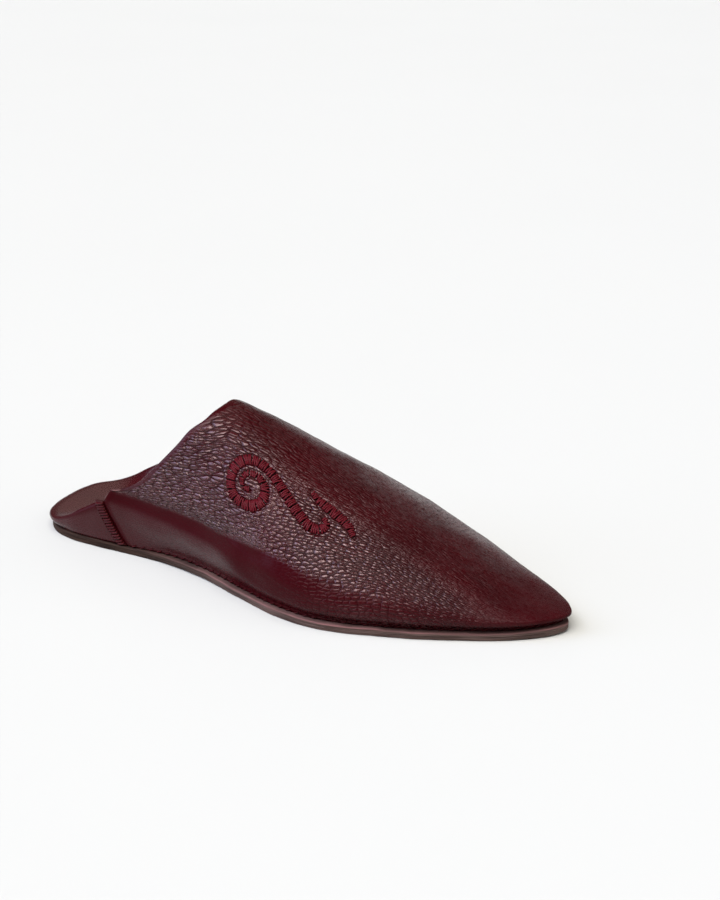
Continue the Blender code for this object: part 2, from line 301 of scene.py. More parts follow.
# Creases of the upper, on the near flank (side -1), the far flank (1) or both (0).
# Columns: side, x and distance down at the start, the same at the end, width, depth (ridge if below 0)
CREASES = (
    (-1, 0.1630, 0.0400, 0.1760, 0.0330, 0.0016, 0.00045),
    (-1, 0.1228, 0.0530, 0.1236, 0.0585, 0.0009, 0.00035),
    (-1, 0.1180, 0.0600, 0.1500, 0.0700, 0.0060, 0.00060),
    (-1, 0.1360, 0.0780, 0.1620, 0.0800, 0.0080, 0.00100),
    (-1, 0.1040, 0.0240, 0.1170, 0.0290, 0.0050, 0.00040),
    (0, 0.1050, 0.0060, 0.1500, 0.0040, 0.0060, -0.00035),
    (0, 0.1700, 0.0160, 0.2100, 0.0120, 0.0090, 0.00040),
    (1, 0.1200, 0.0480, 0.1560, 0.0560, 0.0060, 0.00060),
    (1, 0.1420, 0.0680, 0.1700, 0.0640, 0.0070, 0.00070),
    (1, 0.0800, 0.0300, 0.1120, 0.0420, 0.0050, 0.00040),
)

BASE_Z = SOLE_THICKNESS + GAP
INSOLE_TOP = BASE_Z + INSOLE_THICKNESS
FLAP_TOP = INSOLE_TOP + GAP + QUARTER_SHEET
INSOLE_OFFSET = -SOLE_LIP - GROOVE_DEPTH - UPPER_WALL - GAP
MIDDLE_X = (LENGTH + WALL_BULGE - HEEL_BULGE) / 2
TOPLINE_POWER = 0.9
SEAM_POWER = 0.75
DISH_POWER = 2.2
SPINE_START_SHARE = 0.36
SWING_START, SPRING_START = 0.62, 0.86
ARCH_START, ARCH_END = 0.20, 0.50


# Curves and tables


def hermite(a, b, slope_a, slope_b, t):
    return (
        a * (2 * t**3 - 3 * t**2 + 1)
        + slope_a * (t**3 - 2 * t**2 + t)
        + b * (3 * t**2 - 2 * t**3)
        + slope_b * (t**3 - t**2)
    )


def slopes_at(values, spans):
    """Slope of a smooth curve at each of its points, from the spans on either side."""
    secant = np.diff(values, axis=0) / spans
    inner = (secant[:-1] * spans[1:] + secant[1:] * spans[:-1]) / (spans[1:] + spans[:-1])
    return np.concatenate([secant[:1], inner, secant[-1:]])


def column(table, key, x):
    """Column key of a table at x, on a smooth curve through its rows."""
    xs = np.array([row[0] for row in table])
    ys = np.array([row[key] for row in table])
    span = np.diff(xs)
    slope = slopes_at(ys, span)
    x = np.clip(x, xs[0], xs[-1])
    i = np.clip(np.searchsorted(xs, x) - 1, 0, len(span) - 1)
    t = (x - xs[i]) / span[i]
    return hermite(ys[i], ys[i + 1], slope[i] * span[i], slope[i + 1] * span[i], t)


def curve_through(points, per_span, end_slopes=None):
    """Close points on a smooth curve through the given ones."""
    points = np.array(points, float)
    chord = np.linalg.norm(np.diff(points[:, :2], axis=0), axis=1)[:, None]
    slope = slopes_at(points, chord)
    if end_slopes is not None:
        slope[0], slope[-1] = end_slopes
    t = np.linspace(0.0, 1.0, per_span, endpoint=False)[:, None]
    spans = [
        hermite(points[i], points[i + 1], slope[i] * chord[i], slope[i + 1] * chord[i], t)
        for i in range(len(chord))
    ]
    return np.concatenate(spans + [points[-1:]])


def outline_curve():
    """Half of the sole's outline as close points, square to the centre line at both ends."""
    half = {"heel": HEEL_WIDTH / 2, "waist": WAIST_WIDTH / 2, "ball": BALL_WIDTH / 2}
    points = [(x * LENGTH, half[name] * y) for x, name, y in OUTLINE]
    return curve_through(points, 60, end_slopes=((0.0, 1.0), (0.0, -1.0)))


CURVE = outline_curve()
ARC = np.concatenate([[0.0], np.cumsum(np.linalg.norm(np.diff(CURVE, axis=0), axis=1))])
ARC_LENGTH = ARC[-1]
ARC /= ARC_LENGTH


def on_outline(s):
    """x and y of the outline at share s of its arc, heel 0 to toe 1."""
    return np.array([np.interp(s, ARC, CURVE[:, axis]) for axis in (0, 1)])


def edge(s, offset):
    """x and y of the outline at share s of its arc, moved out by offset."""
    reach = 0.002
    x, y = on_outline(s)
    dx, dy = on_outline(np.clip(s + reach, 0.0, 1.0)) - on_outline(np.clip(s - reach, 0.0, 1.0))
    size = np.hypot(dx, dy)
    at_end = (s <= 0.0) | (s >= 1.0)
    out_x = np.where(at_end, np.where(s >= 1.0, 1.0, -1.0), -dy / size)
    out_y = np.where(at_end, 0.0, dx / size)
    return x + out_x * offset, y + out_y * offset


def arc_at(x):
    return np.interp(x, CURVE[:, 0], ARC)


def smooth(t):
    t = np.clip(t, 0.0, 1.0)
    return t * t * (3.0 - 2.0 * t)


def settle(points):
    """Adds the arch, the toe spring and the toe's swing, and moves the points into the frame."""
    share = points[..., 0] / LENGTH
    spring = np.clip((share - SPRING_START) / (1.0 - SPRING_START), 0.0, None) ** 2
    swing = np.clip((share - SWING_START) / (1.0 - SWING_START), 0.0, None) ** 2
    arch = np.clip((share - ARCH_START) / (ARCH_END - ARCH_START), 0.0, 1.0)
    moved = points.copy()
    moved[..., 0] -= MIDDLE_X
    moved[..., 1] -= TOE_SWING * swing
    moved[..., 2] += TOE_SPRING * spring + ARCH_LIFT * np.sin(math.pi * arch) ** 2
    return moved


def points_of(x, y, z):
    return np.stack(np.broadcast_arrays(x, y, z), axis=-1)


def normals_of(grid):
    """Unit normals of a grid of points, outward where rows go up a left-hand wall."""
    along = np.gradient(grid, axis=0)
    up = np.gradient(grid, axis=1)
    normal = np.cross(up, along)
    return normal / (np.linalg.norm(normal, axis=-1, keepdims=True) + 1e-12)


# Meshes


def make_piece(name, points, faces, materials, face_slots=None, fields=None):
    """A smooth-shaded object. fields holds named values or vectors for each point."""
    used = np.unique(np.concatenate([np.asarray(face) for face in faces]))
    place = np.full(len(points), -1)
    place[used] = np.arange(len(used))
    mesh = bpy.data.meshes.new(name)
    mesh.from_pydata(points[used].tolist(), [], [place[list(face)].tolist() for face in faces])
    for material in materials:
        mesh.materials.append(material)
    if face_slots is not None:
        mesh.polygons.foreach_set("material_index", np.asarray(face_slots, np.int32))
    for key, values in (fields or {}).items():
        values = np.asarray(values, np.float32)[used]
        vector = values.ndim == 2
        attribute = mesh.attributes.new(key, "FLOAT_VECTOR" if vector else "FLOAT", "POINT")
        attribute.data.foreach_set("vector" if vector else "value", values.ravel())
    shell = bmesh.new()
    shell.from_mesh(mesh)
    bmesh.ops.recalc_face_normals(shell, faces=shell.faces)
    shell.to_mesh(mesh)
    shell.free()
    mesh.shade_smooth()
    piece = bpy.data.objects.new(name, mesh)
    bpy.context.scene.collection.objects.link(piece)
    return piece


def grid_faces(index, flip=False):
    """Quads over an array of vertex numbers."""
    quads = np.stack([index[:-1, :-1], index[1:, :-1], index[1:, 1:], index[:-1, 1:]], axis=-1)
    quads = quads.reshape(-1, 4)
    return (quads[:, ::-1] if flip else quads).tolist()


def sheet_faces(rows, columns, coarse_rows, every):
    """Faces of a closed sheet: a fine outer grid, and an inner one with fewer rows.

    The last row closes up on itself. Returns the faces and which of them are inside.
    """
    outer = np.arange(rows * columns).reshape(rows, columns)
    inner = rows * columns + np.arange(coarse_rows * columns).reshape(coarse_rows, columns)
    middle = columns // 2
    for index in (outer, inner):
        index[-1, middle + 1 :] = index[-1, :middle][::-1]
    faces = grid_faces(outer)
    outside = len(faces)
    faces += grid_faces(inner, flip=True)
    inside = len(faces)
    for a, b, c, d in zip(outer[0], outer[0, 1:], inner[0, 1:], inner[0]):
        faces.append([a, b, c, d])
    for side in (0, -1):
        for k in range(coarse_rows - 1):
            fine = outer[k * every : (k + 1) * every + 1, side].tolist()
            face = fine[::-1] + [inner[k, side], inner[k + 1, side]]
            faces.append(face if side == 0 else face[::-1])
    slots = np.zeros(len(faces), int)
    slots[outside:inside] = 1
    return faces, slots


def both_sides(left, right):
    """Two half grids joined at their last column, the crown or spine, the right one mirrored."""
    return np.concatenate([left, right[:, -2::-1] * (1.0, -1.0, 1.0)], axis=1)


def both_values(left, right):
    return np.concatenate([left, right[:, -2::-1]], axis=1)


def one_list(outer, inner):
    """Points of the outside, then those of the inside, in one list."""
    return np.concatenate([outer.reshape(-1, 3), inner.reshape(-1, 3)])


def with_inside(values, inner, inside):
    """Values for the points of the outside, then one value for all those of the inside."""
    return np.concatenate([values.ravel(), np.full(inner.shape[0] * inner.shape[1], inside)])


# Vamp


def seam_x(z):
    """x of the side seam's middle at height z, leaning back from its foot to its top."""
    share = np.clip((z - BASE_Z) / (SEAM_TOP_HEIGHT - BASE_Z), 0.0, None)
    return SEAM_FOOT_X + (SEAM_TOP_X - SEAM_FOOT_X) * share**SEAM_POWER


def beside_seam(height_at, side):
    """x where a row of height height_at(x) meets the seam: behind it (-1), in it (0), ahead (1)."""
    x = SEAM_FOOT_X
    for _ in range(30):
        x = seam_x(height_at(x)) + side * (SEAM_WIDTH / 2 + GAP)
    return x


def rear_x(height_at):
    """x where a row of the vamp starts: along the seam, and above it forward to the corner."""
    x = beside_seam(height_at, 1)
    above = (height_at(x) - SEAM_TOP_HEIGHT) / (CORNER_HEIGHT - SEAM_TOP_HEIGHT)
    if above <= 0.0:
        return x
    seam_front = SEAM_TOP_X + SEAM_WIDTH / 2 + GAP
    return seam_front + (CORNER_X - seam_front) * min(above, 1.0)


def shaping(x):
    """How far the vamp's groove and bulge have grown, from none at the side seam to all."""
    return smooth((x - SEAM_FOOT_X) / SHAPING_LENGTH)


def vamp_edge(s, groove, bulge, inward):
    grown = shaping(edge(s, 0.0)[0])
    return edge(s, -SOLE_LIP - inward + grown * (WALL_BULGE * bulge - GROOVE_DEPTH * groove))


def shoulder_z(x, inward=0.0):
    """Height of the ridge between wall and roof, lower on the inside where the roof is flat."""
    share = column(SECTIONS, 1, x / LENGTH)
    return CORNER_HEIGHT + (TOE_WALL_HEIGHT - CORNER_HEIGHT - inward) * share


def crown_rise(x, inward):
    """Rise of the crown above the shoulder, rounded down to nothing over the toe cap."""
    tip = LENGTH - SOLE_LIP + WALL_BULGE * WALL_ROWS[-1][2] - inward
    into_cap = np.clip((x - tip + TOE_CAP_LENGTH) / TOE_CAP_LENGTH, 0.0, 1.0)
    at_throat = THROAT_HEIGHT - shoulder_z(THROAT_X)
    rise = at_throat * column(SECTIONS, 2, x / LENGTH)
    thinner = inward * (1.0 - column(SECTIONS, 1, x / LENGTH))
    return (rise - thinner) * np.sqrt(1.0 - into_cap**2)


def rim_turn(distance):
    """How far the turned edge rolls in at this distance from the topline."""
    t = np.clip(1.0 - distance / RIM_REACH, 0.0, 1.0)
    return RIM_DEPTH * (1.0 - np.sqrt(1.0 - t**2))


def vamp_stations(start):
    """Arc shares from the rear edge to the toe, closer at both ends."""
    t = np.linspace(0.0, 1.0, VAMP_STEPS + 1)
    rear = t**1.25
    share = 0.45 * rear + 0.55 * (1.0 - (1.0 - rear) ** 1.7)
    return start + (1.0 - start) * share


def wall_row(height, inward):
    """A row of the side wall: -1 on the sole, 0 at the groove's top, 1 at the shoulder."""
    low = BASE_Z + GROOVE_HEIGHT

    def z_at(x, inside=0.0):
        if height < 0.0:
            return low + GROOVE_HEIGHT * height
        return low + height * (shoulder_z(x, inside) - low)

    start = arc_at(rear_x(z_at))
    s = vamp_stations(start)
    thick = abs(inward - rim_turn((s - start) * ARC_LENGTH))
    groove, bulge = column(WALL_ROWS, 1, height), column(WALL_ROWS, 2, height)
    x, y = vamp_edge(s, groove, bulge, thick)
    return points_of(x, y, z_at(x, thick))


def roof_row(angle, inward, side):
    """A row of the roof at an angle from the shoulder (0) to the crown (pi / 2)."""
    share = 2.0 * angle / math.pi
    start_x = CORNER_X + (THROAT_X - CORNER_X) * math.sin(angle) ** TOPLINE_POWER
    for turns, reach, phase in TOPLINE_WAVES:
        wave = math.sin(turns * math.pi * share + side * phase)
        start_x += reach * wave * smooth(share * 4.0) * smooth((1.0 - share) * 6.0)
    start = arc_at(start_x)
    s = vamp_stations(start)
    thick = abs(inward - rim_turn((s - start) * ARC_LENGTH))
    x, y = vamp_edge(s, *WALL_ROWS[-1][1:], thick)
    power = column(SECTIONS, 3, x / LENGTH)
    z = shoulder_z(x, thick) + crown_rise(x, thick) * math.sin(angle) ** power
    return points_of(x, y * math.cos(angle), z)


def vamp_half(inward, side):
    heights = np.concatenate([np.linspace(-1.0, 0.0, 4)[:-1], np.linspace(0.0, 1.0, WALL_STEPS)])
    rows = [wall_row(height, inward) for height in heights]
    for step in range(1, ROOF_STEPS + 1):
        rows.append(roof_row(math.pi / 2 * step / ROOF_STEPS, inward, side))
    half = np.stack(rows, axis=1)
    half[:, -1, 1] = 0.0
    return half


def down_from_crown(half):
    """Distance of each point of a half grid from the crown, measured over the surface."""
    steps = np.linalg.norm(np.diff(half, axis=1), axis=-1)
    down = np.cumsum(steps[:, ::-1], axis=1)[:, ::-1]
    return np.concatenate([down, np.zeros((len(half), 1))], axis=1)


class Flank:
    """One side of the vamp's outer surface, addressed by x and distance down from the crown."""

    def __init__(self, side):
        self.side = side
        self.points = vamp_half(0.0, side)
        self.down = down_from_crown(self.points)
        self.x = self.points[..., 0]
        self.normals = normals_of(self.points)

    def at(self, x, down):
        """Points and outward normals on the displaced surface, in the frame."""
        points, normals = [], []
        grad_x = np.gradient(self.x)
        grad_d = np.gradient(self.down)
        for wanted_x, wanted_d in zip(x, down):
            away = (self.x - wanted_x) ** 2 + (self.down - wanted_d) ** 2
            i, j = np.unravel_index(away.argmin(), away.shape)
            slope = np.array([[part[i, j] for part in grad] for grad in (grad_x, grad_d)])
            miss = (wanted_x - self.x[i, j], wanted_d - self.down[i, j])
            step = np.clip(np.linalg.solve(slope, miss), -1.0, 1.0)
            point = self.points[i, j].copy()
            for axis, share in enumerate(step):
                k = (i, j)[axis]
                ahead = min(k + 1, self.points.shape[axis] - 1) if share > 0 else max(k - 1, 0)
                other = self.points[ahead, j] if axis == 0 else self.points[i, ahead]
                point += (other - self.points[i, j]) * abs(share)
            points.append(point)
            normals.append(self.normals[i, j])
        flip = np.array([1.0, self.side, 1.0])
        return settle(np.array(points) * flip), np.array(normals) * flip


def near_curve(x, down, curve):
    """Distance of each point from a curve of (x, down, width) points, and the width there."""
    nearest = np.full(x.shape, 1.0)
    width = np.zeros(x.shape)
    for curve_x, curve_down, curve_width in curve:
        away = np.hypot(x - curve_x, down - curve_down)
        nearer = away < nearest
        nearest = np.where(nearer, away, nearest)
        width = np.where(nearer, curve_width, width)
    return nearest, width


def channel_depth(x, down):
    """The embroidery's channel: sunk under the threads, with a raised lip on either side."""
    depth = np.zeros(x.shape)
    for curve in (SCROLL, LEAF):
        away, share = near_curve(x, down, curve_through(curve, 12))
        half = BAND_WIDTH / 2 * share
        sunk = smooth(1.0 - (away - half * 0.75) / 0.0009)
        lip = np.exp(-(((away - half - 0.0011) / 0.0008) ** 2))
        depth += np.where(away < 0.008, CHANNEL_DEPTH * sunk - LIP_HEIGHT * lip, 0.0)
    return depth


def crease_depth(x, down, side):
    """The creases of one side, each a soft furrow or ridge along a slightly bowed line."""
    depth = np.zeros(x.shape)
    for which, x0, d0, x1, d1, width, deep in CREASES:
        if which not in (0, side):
            continue
        along = np.array([x1 - x0, d1 - d0])
        t = ((x - x0) * along[0] + (down - d0) * along[1]) / (along @ along)
        bow = 0.0012 * np.sin(math.pi * np.clip(t, 0.0, 1.0))
        on_line = np.clip(t, 0.0, 1.0)
        away = np.hypot(x - x0 - on_line * along[0], down - d0 - on_line * along[1] - bow)
        fade = smooth(1.4 - np.abs(t - 0.5) * 1.6)
        depth += deep * np.exp(-((away / width) ** 2)) * fade
    return depth


def undulation(x, down, side):
    """Slow unevenness of hand-lasted leather."""
    reach = 0.00012
    wave = np.sin(x * 190.0 + 2.0 * np.sin(down * 120.0 + side) + side)
    wave += 0.7 * np.sin(down * 260.0 + 1.7 * np.sin(x * 95.0 + 1.3 * side))
    wave += 0.5 * np.sin(x * 410.0 + down * 330.0 + 2.6 * side)
    return reach * wave


def grain_edge_z(x):
    """Height of the grained leather's lower edge."""
    return CORNER_HEIGHT * column(GRAIN_EDGE, 1, x / LENGTH)


def grain_down(flank):
    """Distance down that the grain follows: from the crown near it, level with the sole below."""
    girth = flank.down[:, 0]
    followed = np.where(flank.x > 0.200, 0.200 + 0.6 * (flank.x - 0.200), flank.x)
    here = np.interp(followed, flank.x[:, 0], girth)
    level = np.clip(flank.down / 0.045, 0.0, 1.0)
    rear = smooth((0.125 - flank.x) / 0.03) * np.clip(flank.down / 0.022, 0.0, 1.0)
    level = np.maximum(level, rear)
    return flank.down - level * (here - np.interp(0.150, flank.x[:, 0], girth))


def ridge_depth(flank):
    """The flank drawn in along a ridge, so that the smooth band below it leans back to the sole."""
    above = flank.points[..., 2] - grain_edge_z(flank.x)
    rear = smooth((0.185 - flank.x) / 0.05) * smooth((flank.x - 0.046) / 0.012)
    drawn_in = smooth(1.0 - np.abs(above + 0.0015) / 0.0085)
    swollen = smooth(1.0 - np.abs(above + 0.0120) / 0.0080)
    return rear * (0.0009 * drawn_in - 0.0005 * swollen)


def dressed_flank(side):
    """The flank with its creases and channel pressed in, and its paint masks."""
    flank = Flank(side)
    x, down = flank.x, flank.down
    depth = crease_depth(x, down, side) + undulation(x, down, side) + ridge_depth(flank)
    if side < 0:
        depth = depth + channel_depth(x, down)
    fade = smooth((LENGTH - x) / 0.012) * smooth(flank.points[..., 2] / 0.012 - 0.5)
    flank.points = flank.points - flank.normals * (depth * fade)[..., None]
    flank.points[:, -1, 1] = 0.0
    flank.normals = normals_of(flank.points)
    return flank


def vamp_masks(flank):
    """Masks for the paint at each point: grain, its lengthwise rows, gloss and darkness, the darkness
    being painted shade.
    """
    x, down = flank.x, flank.down
    below = grain_edge_z(x) - flank.points[..., 2]
    steps = np.linalg.norm(np.diff(flank.points, axis=0), axis=-1)
    from_edge = np.concatenate([np.zeros((1, steps.shape[1])), np.cumsum(steps, axis=0)])
    turned = smooth(1.0 - (from_edge - TURNED_EDGE) / 0.0014)
    front = smooth((x - 0.150) / 0.05)
    soft = 0.0032 + 0.005 * front
    low_wall = smooth((below + 0.4 * soft) / soft)
    band_top = 0.010 + 0.011 * smooth((x - 0.095) / 0.06)
    near_crown = smooth(1.0 - (down - band_top + 0.008) / 0.016)
    grain = 1.0 - low_wall * (0.93 - 0.50 * front)
    grain = grain * (1.0 - 0.42 * near_crown) * (1.0 - 0.85 * turned)
    toe = smooth((x - 0.228) / 0.03)
    grain = grain * (1.0 - 0.35 * toe)
    rows = np.maximum(smooth((0.160 - x) / 0.045), np.maximum(0.9 * near_crown, 0.7 * toe))
    sheen = smooth((below - 0.0052 - 0.04 * (x - 0.055)) / 0.0040) * smooth((0.130 - x) / 0.02)
    lit = 1.5 + 0.5 * smooth(1.0 - np.abs(x - 0.178) / 0.035)
    gloss = lit * (1.0 - low_wall) + low_wall * (0.07 + 0.47 * sheen + 0.30 * front)
    gloss = gloss * (1.0 - 0.7 * turned) * (1.0 - 0.80 * near_crown) * (1.0 - 0.4 * toe)
    # Painted shade on the lower wall below the grained flank, and darker along the turned topline edge
    dark = np.maximum(low_wall * (1.0 - 0.5 * front), 0.6 * turned)
    return {"grain": grain, "rows": rows, "gloss": gloss, "dark": dark}


def make_vamp(flanks, upper, lining):
    left, right = flanks
    outer = both_sides(left.points, right.points)
    inner_left, inner_right = vamp_half(UPPER_WALL, 1), vamp_half(UPPER_WALL, -1)
    inner = both_sides(inner_left, inner_right)[::COARSE_EVERY]
    faces, slots = sheet_faces(*outer.shape[:2], len(inner), COARSE_EVERY)
    masks = zip(vamp_masks(left).items(), vamp_masks(right).values())
    fields = {key: with_inside(both_values(mask, other), inner, 0.3) for (key, mask), other in masks}
    side_down = both_values(grain_down(left), -grain_down(right))
    inner_down = both_values(down_from_crown(inner_left), -down_from_crown(inner_right))
    surface = points_of(outer[..., 0], side_down, 0.0)
    surface_in = points_of(inner[..., 0], inner_down[::COARSE_EVERY], 0.0)
    fields["surface"] = one_list(surface, surface_in)
    points = one_list(settle(outer), settle(inner))
    piece = make_piece("vamp_leather", points, faces, [upper, lining], slots, fields)
    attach(piece, "root")
    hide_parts("vamp")


def make_corner_edges(flanks, material):
    """The pale cut edge of the leather, showing where the topline ends at each corner; its paleness is
    partly the edge's own colour and partly a painted highlight.
    """
    proud, thickness = 0.0001, 0.00034
    corner = WALL_STEPS + 2
    up_topline, down_rear = (1, slice(corner, corner + 5)), (0, slice(corner - 6, corner - 1))
    parts = []
    for flank in flanks:
        for place in (up_topline, down_rear):
            path = flank.points[place] + flank.normals[place] * proud
            taper = thickness * np.sin(np.linspace(0.15, math.pi - 0.15, len(path)))
            parts.append(tube(settle(path * (1.0, flank.side, 1.0)), taper))
    piece = joined_piece("corner_cut_edges_and_highlight", parts, material)
    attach(piece, "root")


# Heel quarter


def fold_z(x):
    return FLAP_TOP + (SEAM_TOP_HEIGHT - FLAP_TOP) * column(FOLD, 1, x / SEAM_TOP_X)


def heel_edge(s, inward, swell):
    """The outline of the quarter set in by inward, swelling out at the back of the heel."""
    fade = np.clip(1.0 - edge(s, 0.0)[0] / SEAM_FOOT_X, 0.0, 1.0) ** 2
    return edge(s, -SOLE_LIP - inward + fade * HEEL_BULGE * swell)


def heel_stations(height):
    """Arc shares from the side seam round to the heel's back, at a share of the fold's height."""
    front = beside_seam(lambda x: BASE_Z + height * (fold_z(x) - BASE_Z), -1)
    return arc_at(front) * np.linspace(1.0, 0.0, HEEL_STEPS + 1)


def dish_rows(underside):
    """The folded flap, from the fold in to the spine along the heel's centre line."""
    s = heel_stations(1.0)
    x, y = heel_edge(s, QUARTER_SHEET * 1.3, QUARTER_ROWS[-1][2])
    spine_start = SPINE_START_SHARE * FLAP_LENGTH
    reach = np.clip((x - spine_start) / (x[0] - spine_start), 0.0, 1.0)
    spine_x = spine_start + (FLAP_LENGTH - spine_start) * reach
    rise = fold_z(x) - FLAP_TOP
    span = np.hypot(x - spine_x, y)
    rows = []
    for step in range(DISH_STEPS + 1):
        r = 1.0 - step / DISH_STEPS
        forward = r ** (1.0 + reach)
        z = FLAP_TOP + rise * r**DISH_POWER
        if underside:
            slope = rise * DISH_POWER * r ** (DISH_POWER - 1.0) / span
            z = z - QUARTER_SHEET * np.sqrt(1.0 + slope**2)
        rows.append(points_of(spine_x + (x - spine_x) * forward, y * r, z))
    rows[-1][:, 1] = 0.0
    return rows


def quarter_half(inside):
    flap = dish_rows(underside=inside)
    rows = []
    for height in np.linspace(0.0, 1.0, QUARTER_STEPS):
        s = heel_stations(height)
        step, swell = column(QUARTER_ROWS, 1, height), column(QUARTER_ROWS, 2, height)
        x, y = heel_edge(s, QUARTER_SHEET * (1.0 if inside else step), swell)
        top = flap[0][:, 2] if inside else fold_z(x)
        rows.append(points_of(x, y, BASE_Z + height * (top - BASE_Z)))
    return np.stack(rows + flap, axis=1)


def quarter_masks(half):
    """Painted shade, more on the wall and the fold's crest than on the flap, and gloss, dull at the
    fold.
    """
    row = np.arange(half.shape[1])
    in_from_fold = smooth((row - QUARTER_STEPS - 1.0) / 5.0)
    dark = 1.0 - 0.6 * in_from_fold * smooth((0.042 - half[..., 0]) / 0.015)
    height = row / (QUARTER_STEPS - 1.0)
    fold = smooth((height - 0.68) / 0.22) * smooth((1.25 - height) / 0.2)
    return dark, np.broadcast_to(0.62 * (1.0 - 0.8 * fold), half.shape[:2])


def make_quarter(upper, lining):
    half, half_in = quarter_half(False), quarter_half(True)
    outer, inner = both_sides(half, half), both_sides(half_in, half_in)[::COARSE_EVERY]
    faces, slots = sheet_faces(*outer.shape[:2], len(inner), COARSE_EVERY)
    drop = np.clip(fold_z(half[..., 0]) - half[..., 2], 0.0, None)
    drop = drop * (np.arange(half.shape[1]) < QUARTER_STEPS)
    spread = half[..., 1] + drop
    surface = points_of(outer[..., 0], both_values(spread, -spread), 0.0)
    surface_in = points_of(inner[..., 0], inner[..., 1], 0.0)
    points = one_list(settle(outer), settle(inner))
    dark, gloss = quarter_masks(half)
    fields = {
        "grain": np.full(len(points), 0.04),
        "rows": np.full(len(points), 1.0),
        "gloss": with_inside(both_values(gloss, gloss), inner, 0.5),
        # dark: painted shade, full on the wall and the fold, less on the rear of the flap
        "dark": with_inside(both_values(dark, dark), inner, 0.5),
        "surface": one_list(surface, surface_in),
    }
    piece = make_piece("heel_quarter_leather", points, faces, [upper, lining], slots, fields)
    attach(piece, "root")
    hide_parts("heel_quarter")


# Threads


def tube(path, radius, sides=7, up=None):
    """A round thread along a path: points, faces and how near the thread's crest each point is."""
    path = np.asarray(path, float)
    tangent = np.gradient(path, axis=0)
    tangent /= np.linalg.norm(tangent, axis=1, keepdims=True)
    up = np.array([0.0, 0.0, 1.0]) if up is None else np.asarray(up, float)
    across = np.cross(tangent, up)
    across /= np.linalg.norm(across, axis=1, keepdims=True)
    lift = np.cross(across, tangent)
    radius = np.broadcast_to(radius, len(path))
    turn = np.linspace(0.0, 2.0 * math.pi, sides, endpoint=False)
    rings = (
        path[:, None, :]
        + across[:, None, :] * (np.cos(turn)[None, :] * radius[:, None])[..., None]
        + lift[:, None, :] * (np.sin(turn)[None, :] * radius[:, None])[..., None]
    )
    index = np.arange(rings.shape[0] * sides).reshape(-1, sides)
    closed = np.concatenate([index, index[:, :1]], axis=1)
    faces = grid_faces(closed)
    faces += [index[0][::-1].tolist(), index[-1].tolist()]
    crest = np.tile(0.5 + 0.5 * np.sin(turn), len(path))
    return rings.reshape(-1, 3), faces, crest


def joined_piece(name, parts, material):
    """One piece from many parts, each given as points, faces and crest values."""
    points, faces, crests, start = [], [], [], 0
    for part_points, part_faces, crest in parts:
        points.append(part_points)
        crests.append(crest)
        faces += [[start + v for v in face] for face in part_faces]
        start += len(part_points)
    fields = {"crest": np.concatenate(crests)}
    return make_piece(name, np.concatenate(points), faces, [material], fields=fields)


def embroidery_threads(flank, curve, seed):
    """Threads laid across a band along the curve, in blocks with a gap between them."""
    rng = np.random.default_rng(seed)
    fine = curve_through(curve, 40)
    steps = np.hypot(*np.diff(fine[:, :2], axis=0).T)
    run = np.concatenate([[0.0], np.cumsum(steps)])
    blocks = max(1, round(run[-1] / BLOCK_PITCH))
    pitch = run[-1] / blocks
    parts = []
    across = np.linspace(-1.0, 1.0, 9)
    for block in range(blocks):
        for thread in range(THREADS_IN_BLOCK):
            spread = (thread - (THREADS_IN_BLOCK - 1) / 2) * THREAD_RADIUS * THREAD_SPACING
            place = (block + 0.5) * pitch + spread
            x, d, share = (np.interp(place, run, fine[:, k]) for k in range(3))
            ahead = np.array([np.interp(place + 5e-4, run, fine[:, k]) for k in range(2)])
            along = ahead - (x, d)
            along /= np.linalg.norm(along) + 1e-12
            sideways = np.array([-along[1], along[0]])
            half = BAND_WIDTH / 2 * share * (1.0 + 0.05 * rng.uniform(-1.0, 1.0))
            lean = 0.0004 * rng.uniform(-1.0, 1.0)
            xs = x + sideways[0] * across * half + along[0] * lean * across
            ds = d + sideways[1] * across * half + along[1] * lean * across
            base, normal = flank.at(xs, ds)
            arch = BAND_ARCH * share * (1.0 - across**2) - 0.0003 * across**6
            level = CHANNEL_DEPTH * 0.35 + arch + THREAD_RADIUS * 0.2
            path = base + normal * level[:, None]
            radius = THREAD_RADIUS * (0.86 + 0.14 * (1.0 - across**4))
            parts.append(tube(path, radius, up=normal[4]))
    return parts


def make_embroidery(flank, thread):
    parts = embroidery_threads(flank, SCROLL, 3) + embroidery_threads(flank, LEAF, 5)
    piece = joined_piece("embroidery_scroll", parts, thread)
    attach(piece, "root")


